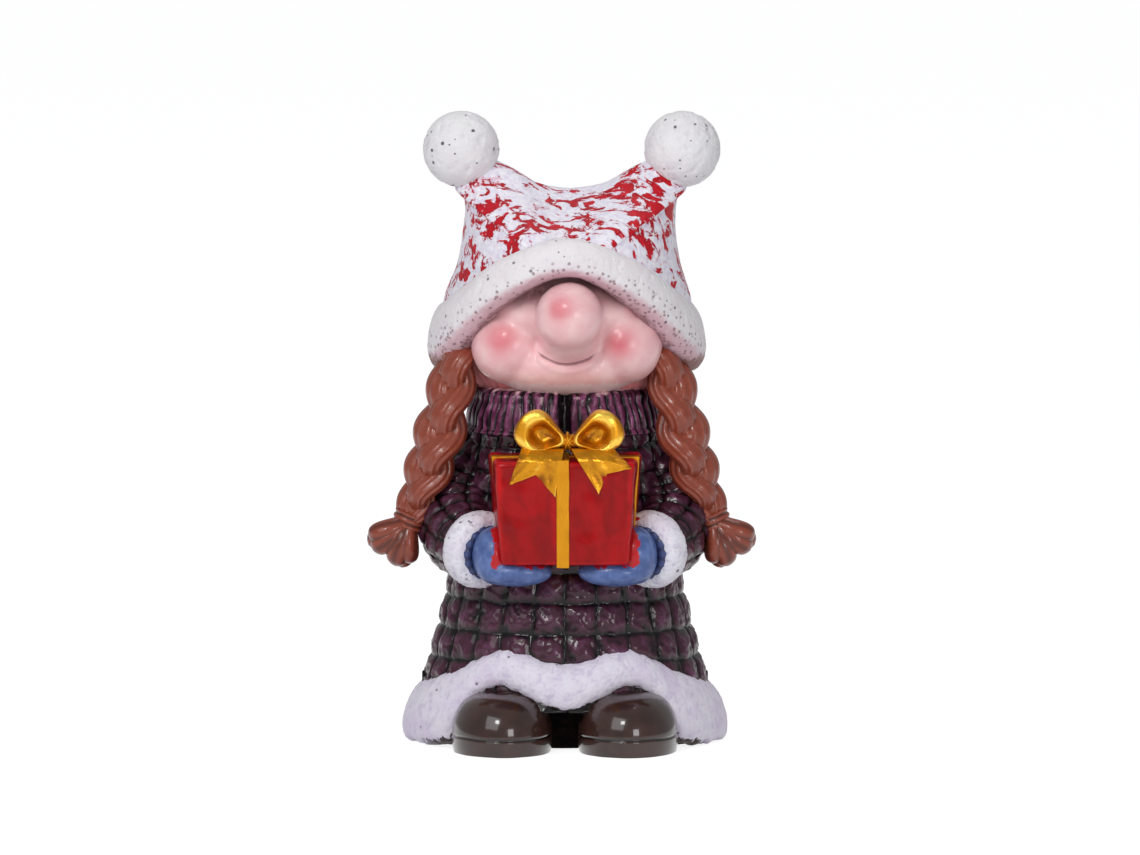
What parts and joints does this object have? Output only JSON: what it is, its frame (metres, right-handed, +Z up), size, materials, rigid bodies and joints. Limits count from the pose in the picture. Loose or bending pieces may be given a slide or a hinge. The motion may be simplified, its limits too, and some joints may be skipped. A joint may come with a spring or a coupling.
{
  "type": "gnome statue",
  "caption": "Painted resin gnome figurine in a two-horned hat, braids and a long quilted coat, holding out a gift box, standing on a flat foot.",
  "frame": {"origin": "middle of the coat's round foot, on the plane that the statue stands on", "axes": "+Z up through the hat, -Y towards the viewer that the gnome faces, +X to that viewer's right"},
  "size_m": [0.0948, 0.0716, 0.15],
  "materials": {
    "coat_plum": "glossy dark plum paint over cast resin",
    "fur_white": "dry-brushed white with small dark pinholes",
    "hat_red": "white dry-brushed over red, worn through in flecks",
    "skin_pink": "satin pink with red on the cheeks and nose",
    "hair_brown": "glossy chestnut brown",
    "mitten_blue": "satin dusty blue",
    "gift_red": "glossy red",
    "ribbon_gold": "gold metallic paint",
    "boot_brown": "glossy dark brown"
  },
  "bodies": {
    "root": {"gnome_statue": "coat_plum"}
  },
  "joints": []
}
